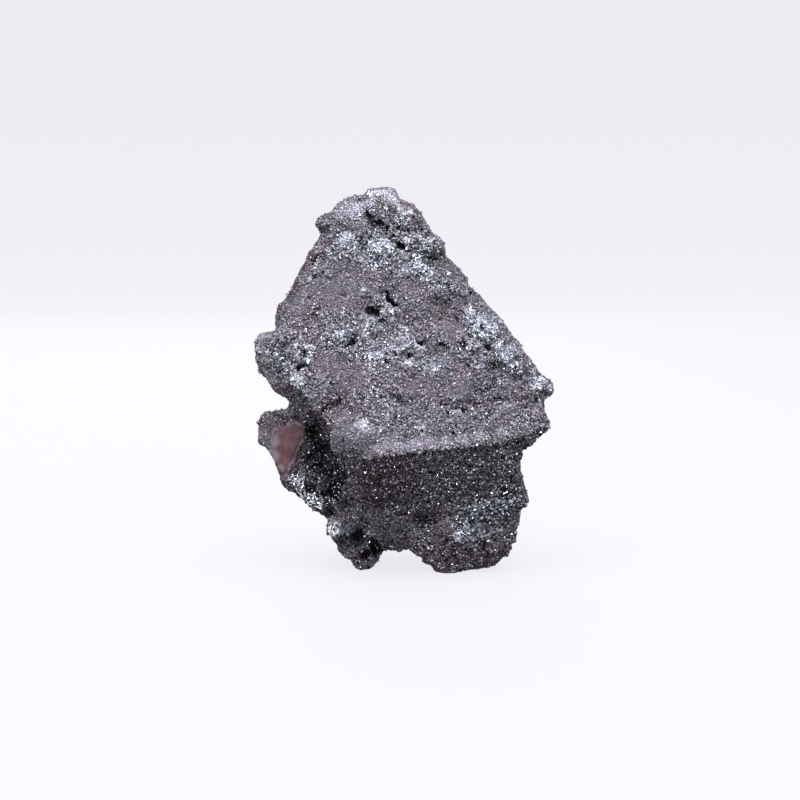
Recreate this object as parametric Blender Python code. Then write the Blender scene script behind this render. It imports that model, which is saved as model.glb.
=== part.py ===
"""A hematite pseudomorph after magnetite, as one solid.

It is a group of octahedral crystals that grew into each other and were replaced by hematite: a large
one with a broad sloping face over a sharp ridge, a wing and a lobe on its left, and a foot knob and a
base block under it. The crystals are convex blocks, joined by a voxel remesh and then roughened by
ledges, nodules, pits and crevices. It stands on the flats where its lowest lumps meet the ground.

Frame: +X to the right of the display face, +Y to the back, +Z up, with the origin at the middle of
the footprint. Shapes are given in millimetres and scaled to metres at the end.
"""

import math

import bmesh
import bpy
from mathutils import Euler, Matrix, Vector, noise

MM = 0.001

SHAPE_VOXEL = 0.40  # joins the blocks and carries the relief, mm
FINAL_VOXEL = 0.36  # cleans up what the relief folds, mm
MOST_TRIANGLES = 9600

# Relief of the surface, mm: how far each kind of it stands out
SWELL_HEIGHT = 0.34
SWELL_SIZE = 3.0
NODULE_SIZE = 1.9
NODULE_HEIGHT = 0.2
NODULE_HEIGHT_MORE = 0.3  # on the crown, round the base and at the back
LEDGE_HEIGHT = 0.1
LEDGE_HEIGHT_MORE = 0.35  # at the back
LEDGE_SPACING = 2.7

# Hematite crust: dark steel grey with a purple cast, metallic, roughened by its small crystals
STONE_COLOUR = (0.135, 0.125, 0.150, 1.0)  # linear
STONE_METALLIC = 0.8
STONE_ROUGHNESS = 0.42

# Corners (x, y, z) of each crystal, mm: those that show from the front, then those at the back
CRYSTALS = {
    "main_octahedron": [
        (-4.9, 2.6, 33.8), (-3.1, 3.0, 34.4), (-0.8, 3.0, 34.4), (1.1, 2.8, 33.0), (3.9, 2.2, 29.5),
        (6.1, 0.6, 26.1), (9.2, -0.8, 23.4), (12.3, -2.6, 19.7), (13.3, -3.6, 17.6),
        (13.2, -4.6, 15.7), (12.6, -6.0, 13.9), (12.1, -6.8, 12.9), (3.2, -9.8, 11.9),
        (-3.9, -11.3, 11.3), (-7.9, -8.2, 16.3), (-10.2, -6.6, 17.8), (-11.3, -5.0, 20.6),
        (-10.1, -4.4, 23.3), (-9.2, -2.4, 26.4), (-8.1, -0.6, 29.1), (-7.0, 1.2, 31.7),
        (-1.9, 5.4, 33.2), (-5.3, 5.2, 32.4), (6.0, 7.0, 25.6), (11.0, 6.4, 16.8),
        (10.8, 7.0, 12.6), (4.6, 10.6, 14.4), (-2.4, 11.4, 13.6), (-10.1, 8.4, 15.4),
        (-11.2, 6.4, 19.8), (-9.0, 5.4, 27.7),
    ],
    "left_side": [
        (-7.7, 1.5, 31.3), (-8.5, 2.5, 30.5), (-9.4, 2.3, 28.8), (-9.7, 2.0, 26.9),
        (-9.9, 1.6, 25.2), (-12.3, 1.2, 23.9), (-12.2, 0.6, 22.5), (-12.4, -0.8, 20.9),
        (-11.0, -4.4, 20.6), (-9.8, -3.8, 23.3), (-8.9, -1.8, 26.4), (-7.6, 0.0, 29.1),
        (-8.0, 6.0, 29.0), (-11.0, 6.6, 22.0), (-11.5, 6.0, 17.0),
    ],
    "under_block": [
        (-4.0, -10.9, 11.1), (3.2, -9.4, 11.6), (10.9, -7.0, 12.2), (10.4, -6.4, 11.1),
        (10.7, -5.2, 8.7), (10.7, -4.2, 4.7), (10.6, -4.2, 2.3), (2.4, -5.4, 4.9),
        (-3.0, -5.8, 4.8), (-1.9, -3.6, 1.6), (0.9, -3.6, 1.2), (-5.2, -8.0, 12.8),
        (-4.9, -6.4, 9.0),
        (10.6, 6.6, 13.0), (10.2, 4.6, 6.0), (8.8, 3.4, 1.6), (4.4, 10.4, 14.6), (2.6, 5.6, 1.8),
        (-2.2, 11.2, 13.8), (-3.6, 4.8, 2.2), (-7.4, 3.0, 5.6), (-9.8, 8.0, 15.4),
    ],
    "heart": [
        (-9.7, -5.5, 16.4), (-6.4, -6.5, 14.9), (-5.6, -5.0, 11.4), (-4.9, -4.8, 6.7),
        (-7.8, -4.2, 6.5), (-9.5, -3.0, 9.3), (-10.0, -2.4, 13.8), (-11.2, -2.4, 17.2),
        (-6.6, -3.4, 4.9), (-4.4, -4.2, 4.4),
        (-10.2, 5.0, 15.1), (-6.3, 6.0, 13.0), (-5.8, 4.0, 5.3), (-8.8, 3.4, 6.6),
        (-10.6, 4.0, 11.4),
    ],
    "left_wing": [
        (-13.3, -3.2, 14.4), (-13.9, -2.7, 13.1), (-13.4, -3.2, 12.0), (-11.9, -4.4, 9.5),
        (-10.5, -5.0, 8.5), (-9.8, -4.6, 10.3), (-9.3, -4.3, 12.3), (-9.5, -3.9, 14.8),
        (-11.7, -3.2, 15.1),
        (-12.8, 2.6, 13.2), (-10.1, 4.0, 15.0), (-9.9, 3.0, 9.0), (-11.4, 1.6, 9.4),
    ],
    "wing_ledge": [
        (-11.7, -3.8, 9.2), (-11.3, -3.8, 8.1), (-10.1, -4.6, 7.3), (-8.1, -5.2, 5.8),
        (-5.5, -5.0, 5.5), (-4.9, -5.6, 6.9), (-6.9, -5.2, 7.6), (-9.7, -5.0, 8.9),
        (-9.2, -4.0, 10.0),
        (-10.9, 1.4, 8.2), (-8.8, 2.0, 5.8), (-5.8, 2.6, 4.8),
    ],
    "foot_knob": [
        (-6.9, -4.2, 5.0), (-7.0, -3.7, 3.9), (-7.0, -3.7, 2.2), (-5.3, -4.6, 1.0),
        (-3.7, -4.2, 0.1), (-2.4, -3.2, 1.2), (-2.4, -3.0, 2.2), (-3.8, -5.2, 4.3),
        (-5.5, -5.2, 5.7),
        (-6.4, 0.0, 4.5), (-4.6, 0.3, -0.5), (-3.0, 0.0, -0.5), (-3.7, -3.4, -0.6),
    ],
    "base_block": [
        (1.8, -6.2, 5.8), (4.2, -7.0, 7.1), (8.8, -6.4, 7.2), (10.9, -4.6, 5.6),
        (10.6, -4.4, 2.6), (10.1, -4.4, 1.9), (7.2, -5.2, 1.0), (4.3, -5.8, -0.3),
        (2.5, -6.0, 0.8), (1.1, -5.2, 1.9), (1.4, -6.0, 4.1),
        (8.2, -0.5, -0.5), (2.8, -0.5, -0.8), (9.9, 0.5, 6.0),
    ],
}

# Octahedra that grew out of the sides and the back: centre, centre to corner, turns about X, Y and Z
# in degrees
OCTAHEDRA = {
    "back_large": ((0.8, 6.0, 18.6), 8.4, (38.0, 12.0, 45.0)),
    "back_high": ((-4.2, 3.6, 28.2), 4.7, (20.0, -14.0, 40.0)),
    "back_left": ((-6.2, 5.4, 12.0), 5.6, (32.0, 26.0, 20.0)),
    "back_right": ((6.2, 5.6, 9.0), 5.2, (44.0, -10.0, 62.0)),
    "right_side": ((8.6, 1.2, 16.2), 4.6, (14.0, 30.0, 10.0)),
    "foot_left": ((-4.1, 3.4, 3.3), 4.3, (0.0, 6.0, 40.0)),
    "foot_right": ((5.2, 3.6, 3.4), 5.0, (8.0, 0.0, 30.0)),
}

# Rounded lumps: centre (x, y, z) and half sizes along x, y and z, mm
LUMPS = {
    "crown_top": ((-1.7, 3.3, 34.1), (2.1, 2.0, 1.6)),
    "crown_right": ((0.3, 2.9, 33.1), (1.7, 1.8, 1.5)),
    "crown_middle": ((0.1, 2.0, 31.7), (1.4, 1.7, 1.4)),
    "crown_tail": ((0.6, 0.9, 30.3), (0.9, 1.2, 0.9)),
    "crown_left": ((-4.7, 3.5, 32.9), (1.8, 2.0, 1.7)),
    "left_shoulder": ((-7.4, 2.5, 32.5), (1.0, 1.4, 1.0)),
    "right_shoulder": ((3.0, 1.5, 29.9), (1.3, 1.8, 1.3)),
    "left_lobe": ((-11.8, -2.6, 20.2), (2.1, 3.2, 2.6)),
    "lobe_root": ((-10.7, -2.2, 18.0), (1.8, 3.4, 1.8)),
    "ridge_end": ((-4.8, -9.7, 12.9), (1.9, 1.6, 1.7)),
    "ridge_tip": ((11.6, -6.6, 12.9), (1.1, 1.2, 0.9)),
    "tip_knob": ((13.3, -3.5, 17.1), (0.8, 1.4, 0.8)),
    "small_knob": ((12.7, -5.0, 14.0), (0.8, 1.3, 0.8)),
    "right_bulge_high": ((10.0, -4.8, 9.6), (1.1, 1.7, 1.0)),
    "right_bulge_low": ((10.3, -4.2, 7.2), (1.3, 1.9, 1.4)),
}

# Marks on the display face: ends (x, z), half width and depth, mm. A pit's two ends are one point.
FRONT_MARKS = {
    "pit_high": ((-1.6, 26.0), (-1.0, 25.1), 0.45, 1.0),
    "pit_middle": ((-3.1, 24.5), (-2.2, 24.3), 0.65, 1.0),
    "pit_left": ((-4.9, 22.4), (-4.7, 21.7), 0.5, 1.0),
    "pit_right": ((0.5, 20.5), (0.9, 20.3), 0.45, 0.8),
    "pit_lobe": ((-8.9, 19.1), (-8.8, 19.0), 0.45, 0.7),
    "pit_groove": ((5.2, 15.9), (6.0, 15.7), 0.5, 0.7),
    "crown_edge_high": ((-3.8, 33.5), (-2.4, 32.3), 0.35, 0.6),
    "crown_edge_middle": ((-2.4, 32.3), (-1.2, 31.7), 0.45, 0.8),
    "crown_edge_low": ((-1.1, 31.2), (0.2, 29.8), 0.45, 0.8),
    "under_shoulder": ((1.9, 29.4), (3.6, 29.1), 0.4, 0.8),
    "long_groove": ((-2.0, 16.1), (6.1, 15.9), 0.45, 0.4),
    "ledge_right_low": ((7.6, 13.5), (10.9, 14.1), 0.35, 0.4),
    "ledge_right_high": ((6.4, 14.5), (11.4, 15.3), 0.35, 0.35),
    "step_middle": ((1.9, 20.6), (6.0, 20.6), 0.45, 0.3),
    "step_high": ((-0.4, 23.8), (6.1, 23.6), 0.45, 0.2),
    "step_left": ((-7.0, 27.3), (-4.0, 27.2), 0.45, 0.25),
    "left_scar": ((-8.1, 28.2), (-6.5, 30.1), 0.4, 0.5),
    "right_scar": ((6.0, 18.9), (8.8, 20.8), 0.4, 0.3),
    "notch": ((-7.5, 15.1), (-6.1, 16.2), 0.7, 1.2),
    "hollow": ((-7.8, 13.2), (-7.2, 8.9), 1.2, 1.6),
    "rim_gap": ((-7.1, 5.7), (-5.2, 5.7), 0.45, 0.9),
    "under_groove": ((0.7, 4.9), (3.5, 4.9), 0.6, 0.9),
    "under_fold": ((-3.0, 6.4), (1.9, 7.1), 0.5, 0.4),
}


def start_empty():
    """Remove whatever the startup scene holds."""
    for obj in list(bpy.data.objects):
        bpy.data.objects.remove(obj)


def add_crystal(bm, corners):
    """A convex crystal through its corners."""
    made = [bm.verts.new(corner) for corner in corners]
    result = bmesh.ops.convex_hull(bm, input=made)
    inside = [item for item in result["geom_interior"] if isinstance(item, bmesh.types.BMVert)]
    bmesh.ops.delete(bm, geom=inside, context="VERTS")


def add_octahedron(bm, centre, reach, turns):
    turn = Euler([math.radians(angle) for angle in turns]).to_matrix()
    add_crystal(bm, [Vector(centre) + way * side * reach for way in turn.col for side in (-1.0, 1.0)])


def add_lump(bm, centre, half_sizes):
    size = Matrix.Diagonal((*half_sizes, 1.0))
    bmesh.ops.create_icosphere(bm, subdivisions=3, radius=1.0, matrix=Matrix.Translation(centre) @ size)


def modified(mesh, kind, **settings):
    """A new mesh: this one as a modifier of that kind leaves it."""
    holder = bpy.data.objects.new("holder", mesh)
    bpy.context.scene.collection.objects.link(holder)
    modifier = holder.modifiers.new("change", kind)
    for name, value in settings.items():
        setattr(modifier, name, value)
    graph = bpy.context.evaluated_depsgraph_get()
    result = bpy.data.meshes.new_from_object(holder.evaluated_get(graph))
    bpy.data.objects.remove(holder)
    return result


def remeshed(mesh, voxel):
    """The skin of everything that the mesh encloses, in quads of one voxel."""
    return modified(mesh, "REMESH", mode="VOXEL", voxel_size=voxel)


def joined_blocks():
    """One skin round the crystals and the lumps."""
    bm = bmesh.new()
    for corners in CRYSTALS.values():
        add_crystal(bm, corners)
    for centre, reach, turns in OCTAHEDRA.values():
        add_octahedron(bm, centre, reach, turns)
    for centre, half_sizes in LUMPS.values():
        add_lump(bm, centre, half_sizes)
    mesh = bpy.data.meshes.new("blocks")
    bm.to_mesh(mesh)
    bm.free()
    return remeshed(mesh, SHAPE_VOXEL)


def smooth_step(start, end, value):
    """0 at start, 1 at end and smooth between them. Start may be the higher one."""
    share = min(1.0, max(0.0, (value - start) / (end - start)))
    return share * share * (3.0 - 2.0 * share)


def front_marks(point):
    """How deep the pits and crevices of the display face are at this point."""
    wobble = 0.35 * noise.noise(point * 0.9)
    place = Vector((point.x + wobble, point.z - wobble))
    deepest = 0.0
    for start, end, half_width, depth in FRONT_MARKS.values():
        start, along = Vector(start), Vector(end) - Vector(start)
        share = 0.0
        if along.length_squared > 0.0:
            share = min(1.0, max(0.0, (place - start).dot(along) / along.length_squared))
        away = (place - start - share * along).length / half_width
        deepest = max(deepest, depth * math.exp(-away * away))
    return deepest


def growth_ledges(point):
    """Steps left by the growth layers, from -0.5 to 0.5. They run nearly level and fade in and out."""
    level = (point.z + 0.16 * point.x + 1.6 * noise.noise(point * 0.16)) / LEDGE_SPACING
    share = level - math.floor(level)
    shown = smooth_step(-0.25, 0.35, noise.noise(point * 0.19 + Vector((7.0, 3.0, 0.0))))
    return shown * (0.5 - smooth_step(0.0, 0.2, share) + 0.5 * share)


def nodules(point):
    """Rounded bumps, about 0.5 in their middles and below zero between them."""
    nearest = noise.voronoi(point / NODULE_SIZE)[0][0]
    return 0.55 - nearest


def relief(point, normal):
    """How far the surface stands out from the blocks here, mm."""
    crown = smooth_step(28.0, 31.0, point.z)
    base = smooth_step(8.0, 4.0, point.z)
    back = smooth_step(-1.0, 3.0, point.y)
    front = smooth_step(0.15, 0.5, -normal.y)
    smooth_wing = front * smooth_step(9.0, 10.0, -point.x) * smooth_step(4.0, 3.0, abs(point.z - 12.0))
    height = SWELL_HEIGHT * noise.fractal(point / SWELL_SIZE, 1.0, 2.0, 3)
    height += (NODULE_HEIGHT + NODULE_HEIGHT_MORE * (crown + base + back)) * nodules(point)
    height += (LEDGE_HEIGHT + LEDGE_HEIGHT_MORE * back) * growth_ledges(point)
    return (1.0 - 0.8 * smooth_wing) * height - front * front_marks(point)


def roughened(mesh):
    """The mesh with its relief."""
    bm = bmesh.new()
    bm.from_mesh(mesh)
    bm.normal_update()
    moved = [vert.co + relief(vert.co, vert.normal) * vert.normal for vert in bm.verts]
    for vert, place in zip(bm.verts, moved):
        vert.co = place
    bm.to_mesh(mesh)
    bm.free()
    return remeshed(mesh, FINAL_VOXEL)


def thinned(mesh, most_triangles):
    """The mesh with fewer faces where it is flattest. It comes in quads, two triangles each."""
    ratio = most_triangles / (2 * len(mesh.polygons))
    return modified(mesh, "DECIMATE", ratio=ratio, use_collapse_triangulate=True)


def worn_flat(mesh):
    """Cut the lowest lumps off level, so that the stone stands on them, and centre the footprint."""
    bm = bmesh.new()
    bm.from_mesh(mesh)
    geometry = bm.verts[:] + bm.edges[:] + bm.faces[:]
    cut = bmesh.ops.bisect_plane(
        bm, geom=geometry, dist=0.0001, plane_co=(0.0, 0.0, 0.0), plane_no=(0.0, 0.0, 1.0), clear_inner=True
    )
    rim = [item for item in cut["geom_cut"] if isinstance(item, bmesh.types.BMEdge)]
    bmesh.ops.holes_fill(bm, edges=rim, sides=0)
    bmesh.ops.triangulate(bm, faces=bm.faces[:])
    xs = [vert.co.x for vert in bm.verts]
    ys = [vert.co.y for vert in bm.verts]
    middle = Vector(((min(xs) + max(xs)) / 2, (min(ys) + max(ys)) / 2, 0.0))
    bmesh.ops.translate(bm, verts=bm.verts[:], vec=-middle)
    bm.to_mesh(mesh)
    bm.free()


def hematite():
    material = bpy.data.materials.new("hematite")
    material.use_nodes = True
    surface = material.node_tree.nodes["Principled BSDF"]
    surface.inputs["Base Color"].default_value = STONE_COLOUR
    surface.inputs["Metallic"].default_value = STONE_METALLIC
    surface.inputs["Roughness"].default_value = STONE_ROUGHNESS
    return material


def main():
    start_empty()
    mesh = thinned(roughened(joined_blocks()), MOST_TRIANGLES)
    worn_flat(mesh)
    mesh.transform(Matrix.Scale(MM, 4))
    mesh.name = "pseudomorph"
    mesh.materials.clear()
    mesh.materials.append(hematite())
    stone = bpy.data.objects.new("pseudomorph", mesh)
    bpy.context.scene.collection.objects.link(stone)


main()
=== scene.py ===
import math

import bmesh
import bpy
import numpy as np
from mathutils import Matrix, Vector
from mathutils.bvhtree import BVHTree


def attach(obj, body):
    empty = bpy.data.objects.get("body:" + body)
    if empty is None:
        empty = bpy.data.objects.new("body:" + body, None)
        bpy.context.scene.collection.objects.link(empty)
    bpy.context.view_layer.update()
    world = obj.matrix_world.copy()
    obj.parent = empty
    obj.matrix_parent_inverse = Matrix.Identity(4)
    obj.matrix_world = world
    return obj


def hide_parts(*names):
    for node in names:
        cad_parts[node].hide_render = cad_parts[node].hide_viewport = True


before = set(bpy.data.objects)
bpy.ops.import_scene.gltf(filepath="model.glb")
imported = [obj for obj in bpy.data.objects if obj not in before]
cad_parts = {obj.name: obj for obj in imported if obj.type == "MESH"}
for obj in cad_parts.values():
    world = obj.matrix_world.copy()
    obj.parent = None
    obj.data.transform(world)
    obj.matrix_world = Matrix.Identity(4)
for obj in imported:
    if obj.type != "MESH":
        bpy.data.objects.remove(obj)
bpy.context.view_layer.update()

MM = 0.001
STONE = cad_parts["pseudomorph"]

# -------- the stone's places

SKIN_GRAIN = 0.21  # the fineness of the skin's mesh, with one crystal on each of its faces
CRYSTAL_SIZE = 0.138  # half the width of a common crystal
LARGEST_CRYSTAL = 0.5  # half the width of the largest one
SUNK = 0.35  # how deep a crystal's foot sits in the skin, as a share of its half width
BACK_SHARE = 0.65  # the share of the back's faces with a common crystal
GRIT_SHARE = 0.6  # the share of the front's faces with a finer crystal too
GRIT_SIZE = 0.6  # how wide a finer crystal is beside a common one
BACK_SIZE = 1.12  # how wide one at the back is
FRONT_LIMIT = 0.25  # a face is one of the front's if its normal's y is less than this
DISPLAY_FROM = 12.0  # the height where the display face begins, over the lower part
CROWN_FROM = 26.0  # the height where the crown begins
AHEAD = -60.0  # a place (y) in front of the whole stone
FLAKE_WAY = (-0.05, -0.78, 0.63)  # the way that flakes face: to the front and up

# Pits and cracks of the display face: two ends (x, z), half width, depth.
PITS = (
    ((-1.8, 25.9), (-1.3, 25.1), 0.16, 1.3), ((-1.4, 25.1), (-0.9, 24.9), 0.2, 1.0),
    ((-3.2, 24.4), (-2.7, 24.1), 0.34, 0.9), ((-2.5, 23.8), (-1.9, 23.4), 0.3, 0.8),
    ((-4.4, 22.2), (-4.8, 21.6), 0.26, 1.0), ((-5.1, 21.4), (-5.3, 21.1), 0.2, 0.7),
    ((0.2, 20.4), (0.7, 20.1), 0.2, 0.9), ((-9.1, 20.7), (-9.3, 20.2), 0.16, 0.5),
    ((-9.3, 19.5), (-9.8, 19.1), 0.2, 0.8), ((4.5, 15.7), (5.5, 15.2), 0.2, 0.6),
    ((3.4, 16.1), (7.4, 15.8), 0.26, 0.34), ((7.9, 16.2), (11.2, 16.3), 0.24, 0.36),
    ((-0.9, 16.9), (-0.5, 16.6), 0.22, 0.5), ((-3.6, 33.3), (-3.1, 32.8), 0.16, 0.7),
    ((-2.7, 32.6), (-2.1, 32.3), 0.18, 0.8), ((-1.8, 32.1), (-1.5, 31.7), 0.15, 0.6),
    ((-1.6, 31.0), (-1.2, 30.6), 0.16, 0.7), ((-0.7, 30.3), (0.2, 29.9), 0.22, 0.9),
    ((1.5, 29.4), (2.1, 29.0), 0.18, 0.6), ((2.5, 29.0), (3.1, 29.0), 0.15, 0.5),
    ((-8.2, 32.1), (-7.6, 31.6), 0.2, 0.5), ((7.3, 21.4), (8.1, 20.4), 0.13, 0.6),
    ((5.2, 21.3), (5.7, 21.0), 0.15, 0.5), ((1.3, 21.5), (1.6, 21.3), 0.2, 0.7),
    ((2.8, 25.5), (3.1, 25.3), 0.16, 0.5), ((-8.9, 28.7), (-7.6, 29.4), 0.18, 0.5),
    ((-9.2, 26.7), (-8.5, 27.3), 0.18, 0.5), ((-7.6, 15.3), (-6.1, 16.3), 0.26, 0.45),
    ((1.2, 5.2), (2.7, 4.9), 0.3, 0.5),
)

# Round knobs of the crust that stand out by themselves: a place on the front (x, z) and a radius.
KNOBS = (
    (-2.2, 34.4, 0.5), (-1.2, 34.0, 0.55), (-0.5, 33.5, 0.5), (-1.8, 33.4, 0.5), (-3.0, 33.9, 0.45),
    (0.3, 32.9, 0.4), (-1.7, 32.3, 0.38), (-1.0, 32.5, 0.36), (-0.3, 32.5, 0.38), (-2.1, 31.6, 0.42),
    (0.0, 31.9, 0.4), (-2.7, 31.0, 0.5), (-3.4, 29.7, 0.5), (-2.2, 30.3, 0.5), (-1.3, 29.9, 0.55),
    (-1.7, 29.4, 0.4), (-0.7, 29.7, 0.4), (-3.7, 28.9, 0.35), (-3.0, 29.2, 0.4), (-0.1, 29.0, 0.45),
    (0.9, 30.4, 0.55), (1.4, 29.7, 0.6), (0.7, 28.6, 0.4), (1.7, 29.0, 0.5), (-4.1, 33.5, 0.6),
    (-4.7, 32.9, 0.5), (-6.3, 30.2, 0.45), (-5.3, 30.3, 0.5), (-7.4, 32.2, 0.5), (-7.9, 31.9, 0.45),
    (-8.3, 28.2, 0.4), (-7.9, 27.8, 0.45), (-7.4, 28.1, 0.35), (-8.0, 26.9, 0.4), (-6.1, 22.0, 0.4),
    (-2.7, 22.3, 0.4), (-1.6, 20.0, 0.35), (-0.3, 20.6, 0.5), (-9.7, 20.9, 0.7), (-9.2, 19.9, 0.5),
    (-12.8, 21.6, 0.5), (-11.7, 20.0, 0.6), (6.3, 26.2, 0.6), (5.8, 24.4, 0.4), (7.0, 23.1, 0.6),
    (7.9, 22.3, 0.7), (6.5, 22.2, 0.5), (8.5, 20.5, 0.7), (5.7, 20.1, 0.5), (6.9, 18.8, 0.5),
    (8.8, 19.7, 0.6), (10.1, 20.2, 0.6), (10.5, 18.9, 0.6), (12.1, 18.3, 0.6), (13.3, 16.95, 0.62),
    (12.9, 14.1, 0.6), (12.0, 13.6, 0.6), (11.7, 12.7, 0.5), (-13.1, 12.3, 0.7), (-11.3, 8.6, 0.5),
    (-10.7, 7.9, 0.45), (10.9, 6.5, 0.6), (10.6, 9.2, 0.5), (5.2, 3.4, 0.8), (1.0, 1.7, 0.6),
    (8.1, 1.9, 0.6),
)
SCATTERED_KNOBS = 500

# Places where the crust is worn thin: a place on the front (x, z), how far it reaches, how much is gone.
WORN = (
    (0.2, 34.5, 1.2, 0.35), (1.2, 33.7, 1.2, 0.2), (4.0, 30.9, 1.0, 0.22), (-8.1, 33.0, 0.6, 0.2),
    (14.3, 17.3, 0.5, 0.25), (0.7, 1.2, 0.9, 0.45), (-2.0, 1.6, 0.8, 0.2), (-11.3, 15.2, 0.9, 0.4),
    (-5.0, 0.4, 0.8, 0.4), (2.5, 0.1, 0.9, 0.35), (10.2, 2.1, 0.6, 0.3), (6.4, 26.3, 0.9, 0.35),
    (7.8, 24.7, 1.3, 0.2), (13.4, 15.9, 0.6, 0.25), (12.6, 12.3, 0.8, 0.35), (11.1, 10.1, 0.9, 0.45),
    (-6.9, 2.5, 0.9, 0.4), (-12.4, 22.5, 0.8, 0.25), (-11.1, 25.7, 1.1, 0.3),
)

# The ridge under the display face: its line (x, z).
RIDGE = (
    (-5.0, 11.35), (-3.0, 11.5), (-1.0, 11.65), (2.0, 11.95), (6.0, 12.2), (8.5, 12.3), (11.0, 13.1),
    (13.0, 13.6),
)

# Rounded lumps of crust with a crease around each: a place on the front (x, z), a radius, a height.
LUMPS = (
    (-5.0, 33.6, 1.7, 0.3), (-1.9, 34.1, 1.9, 0.26), (0.4, 32.6, 1.05, 0.32), (-0.8, 31.7, 0.75, 0.3),
    (-2.5, 31.2, 0.6, 0.26), (-1.7, 30.1, 0.8, 0.28), (-3.1, 30.0, 0.7, 0.22), (1.2, 30.4, 0.7, 0.3),
    (2.9, 30.2, 1.1, 0.15), (1.3, 28.4, 0.9, 0.25), (-8.2, 27.9, 0.55, 0.26), (-6.3, 30.2, 0.7, 0.22),
    (-2.2, 25.3, 0.6, 0.22), (3.3, 25.8, 0.9, 0.22), (1.5, 20.6, 0.65, 0.24), (-6.2, 21.9, 0.55, 0.24),
    (-2.7, 22.4, 0.5, 0.2), (7.8, 21.8, 0.85, 0.28), (6.3, 21.0, 0.75, 0.24), (8.3, 19.9, 0.8, 0.26),
    (7.3, 18.0, 0.95, 0.24), (5.9, 23.6, 0.8, 0.22), (10.4, 18.9, 0.8, 0.22), (12.3, 17.3, 1.0, 0.34),
    (12.5, 15.1, 0.8, 0.28), (12.8, 13.4, 0.75, 0.3), (-13.1, 21.3, 1.15, 0.26), (-11.6, 19.3, 1.0, 0.24),
    (-9.7, 18.2, 0.85, 0.22), (-10.1, 20.6, 0.9, 0.24), (-5.0, 12.9, 1.6, 0.2), (3.1, 4.2, 1.4, 0.32),
    (5.9, 2.4, 1.3, 0.34), (8.6, 3.1, 1.3, 0.32), (7.0, 6.0, 1.2, 0.28), (0.9, 2.2, 1.0, 0.28),
)

# Single large crystals: a place on the front (x, z) and half their width.
LARGE_CRYSTALS = (
    (-10.6, 8.7, 0.35), (-10.1, 8.2, 0.32), (-9.7, 7.8, 0.38), (-9.1, 7.3, 0.34), (-8.5, 7.1, 0.4),
    (-7.9, 6.9, 0.34), (-7.3, 6.9, 0.36), (-9.4, 7.7, 0.3), (-8.1, 7.3, 0.3), (-6.8, 6.5, 0.3),
    (-2.5, 34.9, 0.4), (-1.9, 34.5, 0.45), (-1.2, 34.6, 0.4), (-2.3, 34.1, 0.38), (-1.4, 33.8, 0.42),
    (-0.7, 34.0, 0.36), (-0.4, 33.3, 0.4), (-1.8, 33.4, 0.3), (0.3, 32.7, 0.32), (-1.1, 32.7, 0.28),
    (-4.7, 33.6, 0.36), (-4.2, 33.2, 0.32), (-5.1, 32.9, 0.3), (1.3, 29.9, 0.42), (1.7, 29.4, 0.34),
    (1.4, 27.7, 0.3), (-6.1, 22.0, 0.34), (-2.7, 22.3, 0.26), (6.1, 24.5, 0.4), (6.9, 23.4, 0.44),
    (7.6, 22.7, 0.4), (6.5, 22.6, 0.34), (8.1, 21.9, 0.42), (8.9, 20.9, 0.38), (9.6, 19.8, 0.36),
    (11.9, 18.1, 0.34), (12.5, 17.6, 0.3), (5.4, 21.2, 0.3), (4.9, 22.3, 0.28), (10.6, 18.7, 0.3),
    (12.4, 16.3, 0.34), (12.9, 15.6, 0.3), (5.2, 3.6, 0.4), (5.9, 5.2, 0.34), (8.4, 6.2, 0.3),
)

# Clean, bright crystals: a middle (x, y, z) and how far they reach, as in the next eight lists.
SILVER = (
    (-0.2, 0.6, 32.2, 0.7), (-1.8, -0.4, 29.9, 1.1), (-2.6, -0.6, 29.0, 1.1), (1.4, -0.6, 28.7, 1.4),
    (7.2, -2.3, 22.9, 1.8), (9.8, -3.3, 19.9, 1.6), (13.0, -4.7, 17.5, 0.8), (-9.4, -7.2, 17.6, 0.7),
    (-11.6, -5.8, 19.6, 1.0), (-6.1, -5.5, 21.9, 0.5), (-3.1, -5.6, 20.2, 1.2), (6.0, -6.8, 5.6, 2.0),
    (9.0, -6.0, 6.4, 1.5), (5.1, -6.6, 3.7, 1.0), (-10.3, -5.0, 8.8, 0.6), (-9.8, -4.9, 7.9, 0.7),
    (-9.0, -5.2, 7.0, 0.7), (-8.0, -5.5, 6.6, 0.7), (-7.0, -5.5, 6.2, 0.6), (12.4, -4.4, 18.0, 0.9),
)

# Larger flakes that mirror the light. They are painted pale too, a painted highlight, and kept out of the
# painted shade of the hollows.
FLAKES = (
    (-2.4, 2.0, 34.8, 0.8), (-1.4, 1.4, 34.2, 0.7), (-0.6, 1.2, 33.6, 0.6), (0.3, 1.2, 33.0, 0.5),
    (-1.8, 1.2, 33.3, 0.6), (-1.0, 1.0, 32.6, 0.7), (-2.2, -0.3, 30.2, 0.45), (0.4, 0.3, 30.2, 0.9),
    (1.3, -0.6, 28.2, 0.5), (-6.1, -5.4, 22.0, 0.5), (6.3, -1.8, 24.2, 0.6), (7.4, -2.4, 22.8, 0.6),
    (8.6, -2.9, 21.1, 0.5), (-10.4, -5.0, 8.8, 0.5), (-9.9, -4.9, 8.2, 0.6), (-9.5, -5.0, 7.3, 0.45),
    (-8.7, -5.2, 6.8, 0.6), (-7.9, -5.4, 6.5, 0.5), (-7.2, -5.5, 6.2, 0.45), (-6.6, -5.2, 6.0, 0.4),
)

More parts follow.
